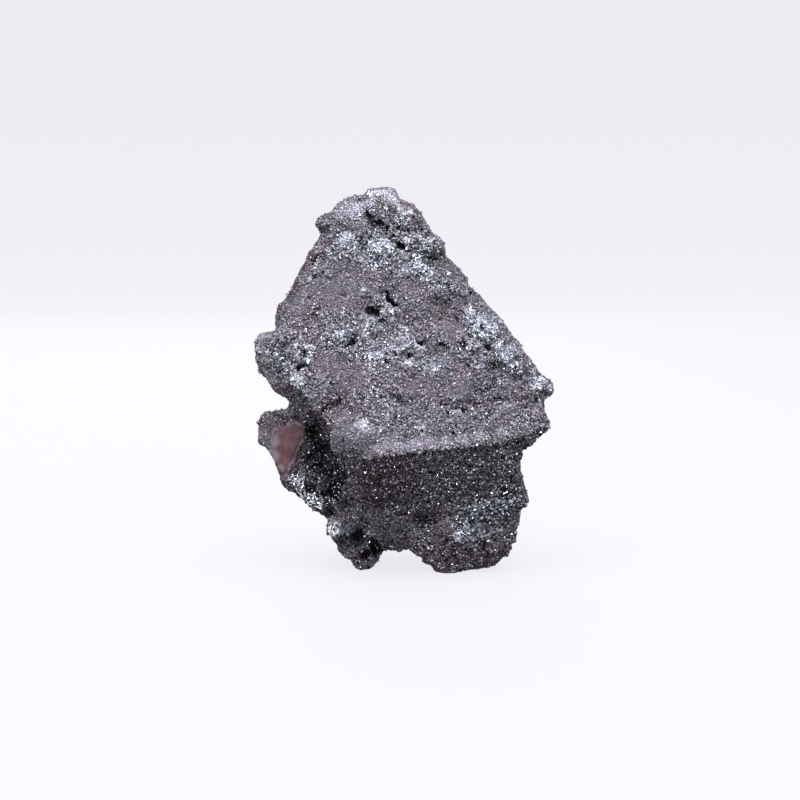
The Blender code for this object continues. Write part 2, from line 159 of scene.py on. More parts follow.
# Coarse crystals with dark gaps between them.
COARSE = (
    (-2.2, -0.2, 30.2, 1.9), (-3.2, -0.6, 29.2, 1.3), (1.2, -0.4, 28.9, 1.5), (-6.3, -0.3, 30.0, 1.2),
    (-7.9, -1.3, 27.8, 1.1), (-8.6, -1.6, 26.4, 0.9), (-1.6, -3.2, 25.2, 1.4), (-2.6, -3.8, 24.0, 1.6),
    (-4.7, -5.0, 22.0, 1.7), (-6.1, -5.4, 21.6, 1.0), (0.0, -5.3, 20.8, 2.0), (-2.4, -5.4, 20.6, 1.6),
    (-9.6, -6.0, 20.0, 1.5), (-10.6, -6.5, 18.6, 0.7), (5.0, -6.9, 15.5, 1.2), (6.6, -3.6, 20.4, 1.6),
    (2.4, -5.9, 19.6, 1.3), (6.0, -6.8, 5.6, 2.2), (9.0, -6.0, 6.4, 1.6), (1.5, -6.5, 2.5, 1.5),
)

# Smooth, fine-grained crust.
FINE = (
    (-1.6, 2.2, 34.4, 2.2), (0.3, 1.4, 33.3, 1.4), (-5.0, 1.6, 33.2, 1.9), (-3.0, -10.4, 12.4, 1.2),
    (-1.4, -10.2, 12.7, 1.1), (0.3, -10.1, 12.7, 1.1), (2.0, -9.9, 12.7, 1.1), (3.7, -9.5, 12.8, 1.0),
    (5.3, -8.8, 13.0, 0.9), (7.0, -8.1, 13.3, 0.9), (8.7, -7.3, 13.7, 0.8), (-13.1, -3.6, 12.6, 1.3),
    (-12.6, -3.8, 14.4, 1.0), (-12.6, -3.9, 10.8, 1.2), (-13.3, -4.0, 21.6, 1.4), (12.4, -5.4, 15.6, 1.0),
    (12.2, -6.0, 13.6, 0.9), (-8.1, 1.4, 31.0, 0.8), (-9.2, 1.4, 29.5, 0.9), (-9.9, 0.6, 28.0, 0.9),
    (-10.7, 0.5, 26.5, 0.9), (-11.5, 0.1, 25.0, 0.9), (-12.2, 0.8, 23.6, 0.8), (4.2, -0.1, 28.0, 0.8),
    (4.9, -0.6, 27.1, 0.8), (5.7, -0.9, 26.2, 0.8), (6.5, -1.2, 25.2, 0.8), (7.3, -1.5, 24.3, 0.8),
    (8.1, -1.8, 23.4, 0.8), (8.9, -2.1, 22.4, 0.8), (9.7, -2.4, 21.5, 0.8), (10.4, -2.8, 20.6, 0.8),
    (11.2, -3.3, 19.6, 0.8),
)

# A film of fine powder, purple grey.
DUSTY = (
    (-6.5, -2.6, 26.2, 2.6), (-4.8, -2.2, 27.2, 1.6), (-9.9, -1.5, 25.2, 2.0), (-7.1, -6.4, 19.8, 1.5),
    (1.6, -7.0, 17.6, 1.9), (5.0, -6.4, 18.0, 1.8), (9.7, -6.1, 15.8, 1.5), (-4.9, -10.6, 13.9, 2.6),
    (-5.0, -7.0, 18.4, 1.6), (3.2, -3.6, 24.3, 2.0), (4.6, -3.2, 22.6, 1.3), (0.6, -2.4, 26.6, 1.2),
    (-12.8, -4.6, 18.6, 1.3),
)

# Powder that is nearly white. On the crown's knob it is partly painted light, lightening faces that the lamps
# leave dim.
PALE_AND_PAINTED_LIGHT = (
    (-12.9, -3.9, 11.9, 0.45), (-12.7, -4.1, 11.0, 0.45), (-0.6, 0.3, 31.0, 0.8), (12.3, -4.6, 18.0, 0.9),
    (-2.4, 2.0, 34.8, 1.0), (-1.4, 1.5, 34.1, 1.2), (-0.4, 1.2, 33.4, 1.0), (-1.0, 1.1, 32.5, 0.8),
    (-1.9, 1.1, 33.1, 0.9), (-4.4, 1.4, 33.1, 1.2), (-1.4, -0.6, 29.6, 0.6), (0.2, 0.2, 30.4, 0.9),
    (-10.0, -6.7, 17.9, 0.9), (-3.6, -9.9, 14.4, 0.9), (-5.3, 0.3, 31.0, 0.8), (1.3, 0.0, 30.0, 1.0),
    (1.4, 0.4, 30.9, 0.9), (-2.2, -0.3, 30.2, 1.0), (-3.0, 1.6, 33.9, 0.8), (12.8, -4.8, 16.2, 0.6),
    (12.5, -6.0, 13.9, 0.6), (-9.3, -6.2, 20.4, 0.9), (5.2, -6.5, 3.6, 0.8), (-6.6, -4.9, 4.0, 0.85),
)

# A thinner, bluish white film.
FROSTED = (
    (-12.4, -4.2, 12.2, 0.8), (-12.4, -4.3, 10.8, 0.7), (-11.6, -4.7, 9.6, 0.4), (-5.2, 1.7, 33.4, 1.7),
    (-2.0, -10.3, 12.4, 1.0), (-0.6, -10.2, 12.6, 1.0), (0.9, -10.1, 12.5, 1.0), (2.4, -9.8, 12.6, 0.9),
    (3.8, -9.5, 12.6, 0.8), (5.2, -8.9, 12.8, 0.7), (7.0, -8.2, 13.1, 0.8), (9.0, -7.4, 13.4, 0.7),
    (11.6, -6.4, 13.5, 1.0), (-13.2, -4.2, 21.7, 1.3), (-12.6, -5.3, 20.2, 1.1), (-11.2, -5.9, 18.8, 1.2),
    (-12.4, -5.0, 18.4, 1.1), (0.4, 0.0, 29.6, 1.2), (7.3, -2.4, 23.0, 1.5), (9.7, -3.3, 20.2, 1.3),
    (6.4, -3.0, 21.5, 1.0), (-0.4, -0.6, 28.2, 1.0), (2.6, -0.6, 27.4, 0.9),
)

# Brown iron oxide.
RUSTY = (
    (-9.4, 0.6, 28.8, 1.2), (-10.8, 0.2, 26.2, 1.2), (-11.8, 0.2, 24.2, 1.1), (4.0, -2.0, 24.4, 0.9),
    (-1.3, -9.4, 9.6, 3.2), (-3.8, -8.6, 8.2, 2.6), (-11.0, -4.6, 11.6, 2.6), (-4.4, -4.6, 1.8, 1.3),
    (3.0, -5.6, 1.8, 2.6), (-9.3, -3.0, 22.5, 2.0),
)

# Where shade is painted dark: the hollow between wing and body, and the gaps under the lumps.
SHADED_HOLLOWS = (
    (-8.3, -5.4, 13.0, 1.4), (-7.7, -5.2, 11.2, 1.9), (-7.2, -5.2, 9.4, 1.9), (-6.6, -5.2, 8.2, 1.3),
    (-7.9, -6.3, 14.9, 0.7), (-7.2, -7.6, 15.5, 0.6), (-6.4, -8.3, 16.1, 0.5), (-2.5, -4.2, 1.8, 0.9),
    (-4.3, -5.2, 3.5, 0.8), (-2.9, -4.6, 2.6, 0.6), (-3.6, -4.9, 1.5, 0.6), (-7.0, -5.2, 5.5, 0.6),
    (-8.8, -5.0, 7.9, 0.8), (-7.6, -5.2, 7.2, 0.7),
)

# The bare octahedron face of the wing: its corners (x, z), in order around it.
FLAT_FACE = (
    (-12.3, 13.0), (-11.6, 13.5), (-10.4, 13.9), (-9.5, 13.7), (-9.3, 13.0), (-9.8, 11.9), (-10.2, 10.2),
    (-10.7, 8.8), (-11.1, 8.6), (-12.1, 9.7), (-12.7, 11.0), (-12.4, 12.1),
)

# The bare crystal over the foot: its outline (x, z), its most forward place (y), the pitch and depth of its
# growth grooves, and its faces, each with the place (x, z) that it starts from and how far it falls back for
# each millimetre along x and z.
FOOT_BLOCK = (
    (-7.8, 4.9), (-5.8, 5.0), (-3.9, 4.9), (-3.45, 3.9), (-3.5, 2.3), (-5.0, 1.9), (-6.2, 2.1),
    (-7.6, 3.6),
)
FOOT_FRONT = -5.75
GROOVE_PITCH = 0.6
GROOVE_DEPTH = 0.1
FOOT_FACES = (
    ((-6.0, 3.6), (-0.75, 0.30)),
    ((-5.4, 3.7), (0.10, -0.45)),
    ((-4.9, 3.6), (0.60, 0.10)),
    ((-5.4, 4.0), (-0.05, 0.50)),
)


# -------- repeatable chance


def chance_at(cells, salt):
    """A number from 0 to 1 for each cell of whole numbers (n, 3). The same cell and salt always give the same
    one, and another salt gives another pattern."""
    cells = cells.astype(np.int64).astype(np.uint64)
    mixed = cells[..., 0] * np.uint64(73856093)
    mixed ^= cells[..., 1] * np.uint64(19349663)
    mixed ^= cells[..., 2] * np.uint64(83492791)
    mixed ^= np.uint64(salt * 2654435761)
    for _ in range(2):
        mixed ^= mixed >> np.uint64(29)
        mixed *= np.uint64(0xBF58476D1CE4E5B9)
    mixed ^= mixed >> np.uint64(32)
    return (mixed & np.uint64(0xFFFFFF)).astype(np.float64) / 0xFFFFFF


def soft_cloud(places, size, salt):
    """Smooth chance from -1 to 1 that changes over about that size."""
    scaled = places / size
    cell = np.floor(scaled)
    inside = scaled - cell
    eased = inside * inside * (3.0 - 2.0 * inside)
    total = np.zeros(len(places))
    for corner in np.ndindex(2, 2, 2):
        corner = np.array(corner)
        share = np.prod(np.where(corner, eased, 1.0 - eased), axis=1)
        total += share * chance_at(cell + corner, salt)
    return 2.0 * total - 1.0


def clouds(places, size, salt, layers=3):
    """Soft clouds with finer ones added to them."""
    total = np.zeros(len(places))
    for layer in range(layers):
        total += soft_cloud(places, size / 2**layer, salt + layer) / 2**layer
    return total / (2.0 - 0.5 ** (layers - 1))


def nearest_seed(places, spacing, salt):
    """Distance to the nearest of the scattered seeds, in spacings."""
    scaled = places / spacing
    cell = np.floor(scaled)
    nearest = np.full(len(places), 9.0)
    for step in np.ndindex(3, 3, 3):
        near = cell + np.array(step) - 1
        seed = near + np.stack([chance_at(near, salt + axis) for axis in range(3)], axis=1)
        nearest = np.minimum(nearest, np.linalg.norm(seed - scaled, axis=1))
    return nearest


def dome(away):
    """1 on top of a round bump, 0 in the crease around it, for a distance in spacings."""
    return np.sqrt(np.clip(1.0 - (away / 0.8) ** 2, 0.0, 1.0))


def ease(low, high, value):
    share = np.clip((value - low) / (high - low), 0.0, 1.0)
    return share * share * (3.0 - 2.0 * share)


# -------- where the stone is what


def spots(places, listed, ragged=0.45, size=0.9, salt=50):
    """1 in the middle of the listed spots, 0 outside them, with ragged edges."""
    rag = ragged * clouds(places, size, salt)
    most = np.zeros(len(places))
    for *middle, reach in listed:
        away = np.linalg.norm(places - np.array(middle), axis=1) / reach
        most = np.maximum(most, ease(1.25, 0.55, away + rag))
    return most


def depth_inside(places, outline):
    """How far inside an outline of corners (x, z) each place is, seen from the front."""
    corners = np.array(outline)
    inside = np.full(len(places), 9.0)
    for start, end in zip(corners, np.roll(corners, -1, axis=0)):
        edge = (end - start) / np.linalg.norm(end - start)
        right, up = places[:, 0] - start[0], places[:, 2] - start[1]
        inside = np.minimum(inside, edge[1] * right - edge[0] * up)
    return inside


def flat_face_share(places, normals, low=-0.15, high=0.25):
    """1 on the wing's bare face, 0 elsewhere. It rises between low and high millimetres inside the edge."""
    rag = (0.25 + 0.5 * ease(12.4, 13.6, places[:, 2])) * clouds(places, 0.9, 61)
    front = ease(0.1, 0.4, -normals[:, 1]) * ease(-1.5, -2.5, places[:, 1])
    return front * ease(low, high, depth_inside(places, FLAT_FACE) + rag)


def foot_block_share(places, normals):
    """1 on the bare crystal over the foot, 0 elsewhere."""
    rag = 0.2 * clouds(places, 0.8, 62)
    front = ease(0.1, 0.4, -normals[:, 1]) * ease(-2.5, -3.5, places[:, 1])
    return front * ease(0.0, 0.35, depth_inside(places, FOOT_BLOCK) + rag)


def foot_block_front(places):
    """Where along y the flat, grooved faces of the bare crystal over the foot are."""
    back = [
        along_x * (places[:, 0] - x) + along_z * (places[:, 2] - z)
        for (x, z), (along_x, along_z) in FOOT_FACES
    ]
    groove = 1.3 * places[:, 0] + 0.5 * places[:, 2] + 0.3 * soft_cloud(places, 1.1, 63)
    groove /= GROOVE_PITCH
    groove = GROOVE_DEPTH * (groove - np.floor(groove))
    return FOOT_FRONT + groove + np.maximum.reduce(back + [np.zeros(len(places))])


def ridge_lip(places, normals):
    """How far the crust stands out in a sharp lip over the ridge, and how far it is drawn back beneath."""
    line = np.interp(places[:, 0], *zip(*RIDGE)) + 0.1 * soft_cloud(places, 1.3, 95)
    above = places[:, 2] - line
    lip = ease(-0.14, 0.08, above) * ease(1.3, 0.35, above)
    recess = ease(-0.05, -0.25, above) * ease(-0.9, -0.4, above)
    stretch = ease(-5.0, -3.4, places[:, 0]) * ease(13.0, 11.5, places[:, 0])
    front = ease(0.0, 0.3, -normals[:, 1]) * ease(-3.5, -4.5, places[:, 1])
    return front * stretch * (0.34 * lip - 0.24 * recess)


def pit_depth(places, normals):
    """How deep the pits and cracks are at each place."""
    wobble = 0.3 * clouds(places, 0.9, 70)
    ragged = 0.75 * clouds(places, 0.5, 74)
    across = places[:, [0, 2]] + np.stack([wobble, -wobble], axis=1)
    deepest = np.zeros(len(places))
    for start, end, half_width, depth in PITS:
        start = np.array(start)
        along = np.array(end) - start
        share = np.clip((across - start) @ along / (along @ along), 0.0, 1.0)
        away = np.linalg.norm(across - start - share[:, None] * along, axis=1) / half_width
        deepest = np.maximum(deepest, depth * ease(1.35, 0.2, away + ragged))
    return deepest * ease(0.15, 0.5, -normals[:, 1]) * ease(4.0, 2.5, places[:, 1])


def lumps_at(places, normals):
    """How far the lumps stand out, and the share of a crease between or around them."""
    rise = np.zeros(len(places))
    crease = np.zeros(len(places))
    wobble = 0.16 * clouds(places, 0.8, 180)
    for *middle, radius, height in LUMPS:
        away = np.linalg.norm(places[:, [0, 2]] - np.array(middle), axis=1) / radius + wobble
        rise = np.maximum(rise, height * np.sqrt(np.clip(1.0 - away**2, 0.0, 1.0)))
        crease = np.maximum(crease, ease(0.85, 1.0, away) * ease(1.3, 1.05, away))
    front = ease(0.0, 0.4, -normals[:, 1])
    return front * rise, front * crease * ease(0.12, 0.0, rise)


def worn_depth(places):
    """How much of the crust is worn away."""
    worn = np.zeros(len(places))
    for *middle, reach, depth in WORN:
        away = np.linalg.norm(places[:, [0, 2]] - np.array(middle), axis=1) / reach
        worn = np.maximum(worn, depth * ease(1.3, 0.3, away))
    return worn


def pinholes(places, normals):
    """Small gaps in the crust of the front."""
    near = nearest_seed(places, 1.25, 170) + 0.12 * clouds(places, 0.5, 175)
    return ease(0.22, 0.10, near) * ease(0.0, 0.4, -normals[:, 1])


def fine_share(places):
    """Where the crust is fine-grained and smooth."""
    listed = np.maximum(spots(places, FINE, salt=55), spots(places, DUSTY, salt=54))
    return np.maximum(listed, 0.8 * ease(0.1, -0.5, clouds(places, 2.2, 130)))


def crest_share(normals):
    """Where the stone turns from front to back: its crystals are finest along these edges."""
    return ease(0.45, 0.2, np.abs(normals[:, 1]))


def growth_steps(places):
    """Thin growth layers, nearly level, that come and go."""
    level = places[:, 2] + 0.16 * places[:, 0] + 1.1 * soft_cloud(places, 6.0, 80)
    share = level / 1.7 - np.floor(level / 1.7)
    shown = ease(-0.2, 0.5, soft_cloud(places, 4.5, 81))
    return shown * (0.5 - ease(0.0, 0.22, share) + 0.5 * share)


def knobbly_share(places):
    """Where the crust stands in round knobs rather than in an even layer."""
    crown = ease(27.5, 31.0, places[:, 2])
    base = ease(7.0, 3.0, places[:, 2])
    right = ease(5.0, 8.5, places[:, 0] + 0.3 * (places[:, 2] - 20.0))
    lobe = ease(-9.5, -11.5, places[:, 0])
    back = ease(0.0, 4.0, places[:, 1])
    share = 0.35 + 0.55 * np.maximum.reduce([crown, base, right, lobe, 0.8 * back])
    return np.clip(share + 0.35 * clouds(places, 3.0, 90), 0.1, 1.0)


# -------- meshes


def linked(obj):
    bpy.context.scene.collection.objects.link(obj)
    return obj


def coordinates(mesh):
    flat = np.empty(len(mesh.vertices) * 3)
    mesh.vertices.foreach_get("co", flat)
    return flat.reshape(-1, 3)


def vertex_normals(mesh):
    flat = np.empty(len(mesh.vertices) * 3)
    mesh.vertex_normals.foreach_get("vector", flat)
    return flat.reshape(-1, 3)


def move_vertices(mesh, places):
    mesh.vertices.foreach_set("co", np.ascontiguousarray(places).ravel())
    mesh.update()


def modified(mesh, kind, **settings):
    holder = linked(bpy.data.objects.new("holder", mesh))
    modifier = holder.modifiers.new("change", kind)
    for name, value in settings.items():
        setattr(modifier, name, value)
    graph = bpy.context.evaluated_depsgraph_get()
    result = bpy.data.meshes.new_from_object(holder.evaluated_get(graph))
    bpy.data.objects.remove(holder)
    return result


def paint(mesh, name, values, domain="POINT"):
    """A number for each vertex or face that the materials read."""
    mesh.attributes.new(name, "FLOAT", domain).data.foreach_set("value", values.astype(np.float32))


def mesh_of(name, points, triangles):
    mesh = bpy.data.meshes.new(name)
    mesh.vertices.add(len(points))
    mesh.vertices.foreach_set("co", points.ravel())
    mesh.loops.add(triangles.size)
    mesh.loops.foreach_set("vertex_index", triangles.ravel().astype(np.int32))
    mesh.polygons.add(len(triangles))
    mesh.polygons.foreach_set("loop_start", np.arange(0, triangles.size, 3, dtype=np.int32))
    mesh.update(calc_edges=True)
    return mesh


def knobbed_solid():
    """The solid with round knobs of crust, partly sunk into it."""
    solid = STONE.data
    solid.calc_loop_triangles()
    corners = coordinates(solid) / MM
    triangles = np.empty(len(solid.loop_triangles) * 3, dtype=np.int32)
    solid.loop_triangles.foreach_get("vertices", triangles)
    triangles = triangles.reshape(-1, 3)
    first, second, third = (corners[triangles[:, i]] for i in range(3))
    across = np.cross(second - first, third - first)
    areas = np.maximum(np.linalg.norm(across, axis=1), 1e-9)
    outward = across / areas[:, None]
    middles = (first + second + third) / 3.0
    chance = areas * knobbly_share(middles) ** 2 * (1.0 - fine_share(middles)) * (middles[:, 2] > 1.0)
    chance *= 1.0 - flat_face_share(middles, outward)
    dice = np.random.default_rng(3)
    picked = dice.choice(len(areas), SCATTERED_KNOBS, p=chance / chance.sum())
    away = np.sqrt(dice.uniform(size=(SCATTERED_KNOBS, 1)))
    turn = dice.uniform(size=(SCATTERED_KNOBS, 1))
    places = (1.0 - away) * first[picked] + away * ((1.0 - turn) * second[picked] + turn * third[picked])
    radii = dice.uniform(0.25, 0.55, SCATTERED_KNOBS)
    centres = list(places - (0.6 * radii)[:, None] * outward[picked])
    radii = list(radii)
    surface = BVHTree.FromPolygons(corners.tolist(), triangles.tolist())
    for x, z, radius in KNOBS:
        place, normal, _, _ = surface.ray_cast(Vector((x, AHEAD, z)), Vector((0.0, 1.0, 0.0)))
        centres.append(np.array(place - 0.2 * radius * normal))
        radii.append(radius)
    ball = bmesh.new()
    bmesh.ops.create_icosphere(ball, subdivisions=2, radius=1.0)
    points = np.array([corner.co for corner in ball.verts])
    faces = np.array([[corner.index for corner in face.verts] for face in ball.faces])
    ball.free()
    count = len(centres)
    stretch = np.array(radii)[:, None, None] * dice.uniform(0.8, 1.2, (count, 1, 3))
    balls = np.array(centres)[:, None, :] + stretch * points
    ball_faces = faces + len(corners) + len(points) * np.arange(count)[:, None, None]
    points = np.concatenate([corners, balls.reshape(-1, 3)])
    return mesh_of("knobbed_solid", points, np.concatenate([triangles, ball_faces.reshape(-1, 3)]))


def skin_mesh():
    """The solid's shape with its nodules, pits, cracks and growth steps."""
    mesh = modified(knobbed_solid(), "REMESH", mode="VOXEL", voxel_size=SKIN_GRAIN)
    mesh = modified(mesh, "SMOOTH", factor=0.5, iterations=5)
    places, normals = coordinates(mesh), vertex_normals(mesh)
    block = foot_block_share(places, normals)
    rough = 1.0 - np.maximum(flat_face_share(places, normals), 0.95 * block)
    knobby = knobbly_share(places)
    crest = crest_share(normals)
    height = 0.42 * knobby * (dome(nearest_seed(places, 1.15, 100)) - 0.6)
    height += 0.16 * (0.4 + 0.6 * knobby) * (dome(nearest_seed(places, 0.62, 110)) - 0.6)
    height += 0.12 * clouds(places, 1.4, 115)
    height += 0.05 * growth_steps(places)
    crown = ease(31.0, 33.0, places[:, 2]) * ease(-3.8, -2.8, places[:, 0])
    height *= 1.0 - np.maximum(0.75 * fine_share(places) * (1.0 - 0.7 * crown), 0.75 * crest)
    rise, crease = lumps_at(places, normals)
    height += rise - 0.16 * crease
    sunk = 0.1 - 0.07 * crest + worn_depth(places) + pit_depth(places, normals)
    height -= sunk + 0.3 * pinholes(places, normals)
    height *= 0.05 + 0.95 * rough
    shake = np.stack([chance_at(np.round(places * 1000), 120 + axis) for axis in range(3)], axis=1) - 0.5
    shake *= (0.09 * (0.1 + 0.9 * rough) * (1.0 - 0.6 * crest))[:, None]
    moved = places + height[:, None] * normals + shake
    moved[:, 1] -= ridge_lip(places, normals)
    moved[:, 1] += block * (foot_block_front(places) - moved[:, 1])
    moved[:, 2] = np.maximum(moved[:, 2], 0.0)
    low = places[:, 2] < 0.03
    moved[low, 2] = 0.0
    move_vertices(mesh, moved)
    return mesh


def face_middles(mesh):
    """The middle and the normal of each face."""
    middles = np.empty(len(mesh.polygons) * 3)
    normals = np.empty(len(mesh.polygons) * 3)
    mesh.polygons.foreach_get("center", middles)
    mesh.polygons.foreach_get("normal", normals)
    return middles.reshape(-1, 3), normals.reshape(-1, 3)


def crust_at(places, normals):
    """What the crust is at each place, with the shade and light painted on it."""
    fine = fine_share(places)
    coarse = np.maximum(spots(places, COARSE, salt=52), 0.6 * ease(0.1, 0.6, clouds(places, 2.2, 130)))
    bright = 0.5 * ease(0.2, 0.7, clouds(places, 1.5, 135))
    silver = np.maximum(0.75 * spots(places, SILVER, salt=51), bright)
    brown = 0.6 * ease(0.25, 0.7, clouds(places, 5.0, 140))
    gaps = np.maximum(pit_depth(places, normals), 0.7 * pinholes(places, normals))
    # Painted shade on the lower face under the ridge: it joins the painted shade of the hollows, and the
    # powder is taken away there too.
    lower = ease(12.4, 11.2, places[:, 2] - 0.1 * places[:, 0]) * ease(4.0, 7.0, places[:, 2])
    lower = 0.38 * lower * ease(0.0, 0.4, -normals[:, 1]) * ease(-9.0, -6.0, places[:, 0])
    _, crease = lumps_at(places, normals)
    edge = depth_inside(places, FLAT_FACE)
    edge = ease(-0.3, -0.1, edge) * ease(0.12, -0.02, edge) * ease(-2.0, -3.0, places[:, 1])
    ragged = ease(-0.2, 0.4, clouds(places, 1.0, 185))
    # Painted shade: the listed hollows, the pits and pinholes, and the creases around the crown's lumps turn
    # dark.
    hollow = np.maximum(spots(places, SHADED_HOLLOWS, salt=57), ease(0.25, 0.7, gaps))
    hollow = np.maximum(hollow, 0.3 * crease * ragged * ease(33.6, 31.6, places[:, 2]))
    flakes = spots(places, FLAKES, salt=66)
    return {
        "silver": np.maximum(silver, 0.4 * coarse),
        "coarse": coarse * (1.0 - 0.5 * fine),
        "dust": fine * (1.0 - 0.5 * silver) * (1.0 - 2.0 * lower),
        "hollow": np.maximum(hollow, lower) * (1.0 - flakes),
        "rust": np.maximum(spots(places, RUSTY, salt=60), brown),
        # Pale powder, partly painted light: the listed pale spots, the frosted film, a rim round the wing's
        # bare face, a painted highlight on the flakes, and pale clouds.
        "pale": np.maximum.reduce([
            0.95 * spots(places, PALE_AND_PAINTED_LIGHT, salt=63),
            0.42 * spots(places, FROSTED, salt=64),
            0.45 * edge,
            0.6 * flakes,
            0.5 * ease(0.3, 0.8, clouds(places, 1.6, 150)),
        ]),
        "mauve": ease(-0.5, 0.5, clouds(places, 1.7, 160)),
    }


# A crystal's eight triangles: corners 0 to 2 are its top and 3 to 5 its foot.
CRYSTAL_FACES = np.array(
    [(0, 1, 2), (5, 4, 3)]
    + [(i, i + 3, (i + 1) % 3) for i in range(3)]
    + [(i + 3, (i + 1) % 3 + 3, (i + 1) % 3) for i in range(3)]
)


def crystal_mesh(name, places, normals, sizes, plates, calm, crust, dice):
    """Stout crystals: a three-sided top over a three-sided foot turned the other way. Each is one closed
    block, tilted at random and sunk into the skin. Plates have a wide top and lie flatter, and so do calm
    ones. All plates and a share of the others have flat faces, and the rest are shaded round."""
    count = len(places)
    tilt = np.where(plates, 0.2, 0.36 - 0.18 * calm)
    lean = normals + tilt[:, None] * dice.normal(size=(count, 3))
    lean /= np.linalg.norm(lean, axis=1)[:, None]
    side = np.cross(lean, dice.normal(size=(count, 3)))
    side /= np.linalg.norm(side, axis=1)[:, None]
    other = np.cross(lean, side)
    rise = np.where(plates, dice.uniform(0.15, 0.35, count), dice.uniform(0.3, 0.95 - 0.4 * calm))
    spread = np.where(plates, dice.uniform(0.8, 1.0, count), dice.uniform(0.35, 0.85, count))
    jitter = dice.uniform(-0.5, 0.5, (2, count, 1)) * SKIN_GRAIN
    centres = places + jitter[0] * side + jitter[1] * other
    top = (rise, spread, 0.0)
    foot = (np.full(count, -SUNK), np.ones(count), math.tau / 6.0)
    corners = []
    for level, width, turned in (top, foot):
        for third in range(3):
            angle = turned + third * math.tau / 3.0
            out = math.cos(angle) * side + math.sin(angle) * other
            reach = sizes * width * dice.uniform(0.75, 1.2, count)
            corners.append(centres + out * reach[:, None] + lean * (level * sizes)[:, None])
    points = np.stack(corners, axis=1).reshape(-1, 3)
    points[:, 2] = np.maximum(points[:, 2], 0.0)
    faces = CRYSTAL_FACES + 6 * np.arange(count)[:, None, None]
    mesh = mesh_of(name, points, faces.reshape(-1, 3))
    each = len(CRYSTAL_FACES)
    flat_share = np.where(plates, 1.0, 0.5 + 0.35 * ease(0.1, 0.3, normals[:, 1]))
    flat = dice.uniform(size=count) < flat_share
    mesh.attributes.new("sharp_face", "BOOLEAN", "FACE").data.foreach_set("value", np.repeat(flat, each))
    for kind, values in crust.items():
        paint(mesh, kind, np.repeat(values, each), "FACE")
    least = np.repeat(np.where(plates, 0.55, 0.0), each)
    paint(mesh, "luck", dice.uniform(least, 1.0), "FACE")
    paint(mesh, "tone", np.repeat(dice.uniform(size=count), each), "FACE")
    # 1 at the top, 0 at the foot: from this the druse material paints shade at each crystal's foot.
    paint(mesh, "tip", np.tile([1.0, 1.0, 1.0, 0.0, 0.0, 0.0], count))
    return mesh


# -------- finishes


def linear(code):
    """An sRGB hex colour as linear numbers."""
    parts = [int(code[i : i + 2], 16) / 255.0 for i in (1, 3, 5)]
    return tuple(p / 12.92 if p <= 0.04045 else ((p + 0.055) / 1.055) ** 2.4 for p in parts) + (1.0,)


def add(tree, kind, inputs=None, **settings):
    """A shader node of that kind. inputs holds each socket's number, hex colour, linked output, or the node
    whose first output is linked. A colour mix has its share at socket 0 and its two colours at 6 and 7."""
    node = tree.nodes.new("ShaderNode" + kind)
    for name, value in settings.items():
        setattr(node, name, value)
    for socket, value in (inputs or {}).items():
        if isinstance(value, bpy.types.Node):
            value = next(output for output in value.outputs if output.enabled)
        if isinstance(value, bpy.types.NodeSocket):
            tree.links.new(value, node.inputs[socket])
        else:
            node.inputs[socket].default_value = linear(value) if isinstance(value, str) else value
    return node


def new_material(name):
    material = bpy.data.materials.new(name)
    material.use_nodes = True
    material.node_tree.nodes.clear()
    return material


def tiny_facets(tree, tilt):
    """Facets 0.12 mm wide: a random number for each, and the normal tipped at random."""
    place = add(tree, "TexCoord").outputs["Object"]
    cells = add(tree, "TexVoronoi", {"Vector": place, "Scale": 8500.0}).outputs["Color"]
    number = add(tree, "SeparateColor", {"Color": cells}).outputs["Red"]
    tipped = add(tree, "VectorMath", {0: cells, 1: (0.5, 0.5, 0.5)}, operation="SUBTRACT")
    tipped = add(tree, "VectorMath", {0: tipped, "Scale": tilt}, operation="SCALE")
    normal = add(tree, "NewGeometry").outputs["Normal"]
    normal = add(tree, "VectorMath", {0: normal, 1: tipped}, operation="ADD")
    normal = add(tree, "VectorMath", {0: normal}, operation="NORMALIZE")
    return number, normal


